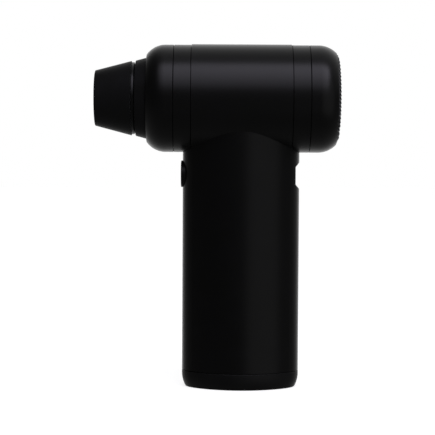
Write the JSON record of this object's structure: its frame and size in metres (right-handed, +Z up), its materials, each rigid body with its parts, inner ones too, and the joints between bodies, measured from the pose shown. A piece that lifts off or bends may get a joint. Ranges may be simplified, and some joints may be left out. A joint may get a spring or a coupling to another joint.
{
  "type": "cordless air blower",
  "caption": "Hand-held cordless turbo blower with a round barrel, tapered nozzle, domed mesh intake and oval battery handle.",
  "frame": {"origin": "centre of the base cap's flat underside, on the handle's axis", "axes": "+Z up along the handle, -X towards the nozzle, where the air leaves, +X towards the intake mesh"},
  "size_m": [0.0972, 0.0428, 0.1354],
  "materials": {
    "housing_black": "satin black anodised",
    "ring_black": "satin black anodised",
    "cowl_black": "satin black anodised",
    "nozzle_plastic": "fine matte black",
    "seal_rubber": "smooth black",
    "mesh_black": "black powder coat",
    "inner_plastic": "dark grey moulded",
    "cap_plastic": "satin black moulded",
    "screw_steel": "dark zinc",
    "button_plastic": "satin black moulded",
    "plunger_plastic": "dark red",
    "switch_body": "dark grey",
    "board_green": "green solder mask",
    "socket_steel": "tinned steel",
    "clear_guide": "frosted clear",
    "led_white": "milky white",
    "chip_black": "black epoxy",
    "capacitor_can": "blue sleeved",
    "cell_wrap": "blue shrink sleeve",
    "holder_plastic": "natural moulded",
    "strip_nickel": "nickel strip",
    "lead_red": "silicone insulation",
    "lead_yellow": "silicone insulation",
    "damper_rubber": "soft black",
    "impeller_alloy": "dark anodised, machined",
    "spinner_alloy": "turned",
    "shaft_steel": "ground",
    "magnet_coat": "nickel coated",
    "lamination_steel": "stacked laminations",
    "copper_enamel": "enamelled copper",
    "bearing_steel": "ground",
    "ball_steel": "polished"
  },
  "bodies": {
    "body": {"main_housing": "housing_black", "front_barrel_ring": "ring_black", "rear_barrel_ring": "ring_black", "front_cowl": "cowl_black", "rear_cowl": "cowl_black", "nozzle_collar": "nozzle_plastic", "nozzle_seal": "seal_rubber", "intake_mesh": "mesh_black", "mesh_clamp_ring": "inner_plastic", "intake_bellmouth": "inner_plastic", "base_cap": "cap_plastic", "base_screws": "screw_steel", "tactile_switch": "switch_body", "control_board": "board_green", "board_screws": "screw_steel", "usb_c_socket": "socket_steel", "light_guide": "clear_guide", "charge_led": "led_white", "motor_driver_chips": "chip_black", "supply_capacitor": "capacitor_can", "front_cell": "cell_wrap", "rear_cell": "cell_wrap", "lower_cell_holder": "holder_plastic", "upper_cell_holder": "holder_plastic", "lower_contact_strip": "strip_nickel", "upper_contact_strips": "strip_nickel", "battery_leads": "lead_red", "motor_leads": "lead_yellow", "fan_duct": "inner_plastic", "front_damper": "damper_rubber", "rear_damper": "damper_rubber", "stator_core": "lamination_steel", "stator_windings": "copper_enamel", "front_bearing_outer": "bearing_steel", "front_bearing_balls": "ball_steel", "rear_bearing_outer": "bearing_steel", "rear_bearing_balls": "ball_steel", "motor_end_cap": "inner_plastic", "tail_cone": "inner_plastic"},
    "rotor": {"impeller": "impeller_alloy", "spinner_nut": "spinner_alloy", "motor_shaft": "shaft_steel", "rotor_magnet": "magnet_coat", "front_bearing_inner": "bearing_steel", "rear_bearing_inner": "bearing_steel"},
    "button": {"power_button": "button_plastic", "switch_plunger": "plunger_plastic"},
    "nozzle": {"nozzle": "nozzle_plastic"}
  },
  "joints": [
    {"name": "rotor_spin", "type": "hinge", "parent": "body", "child": "rotor", "pos_m": [0, 0, 0.114], "axis": [1, 0, 0], "continuous": true},
    {"name": "button_press", "type": "slide", "parent": "body", "child": "button", "axis": [1, 0, 0], "range_m": [0, 0.0005], "stiffness_N_per_m": 1500},
    {"name": "nozzle_pull", "type": "slide", "parent": "body", "child": "nozzle", "axis": [-1, 0, 0], "range_m": [0, 0.02]}
  ]
}
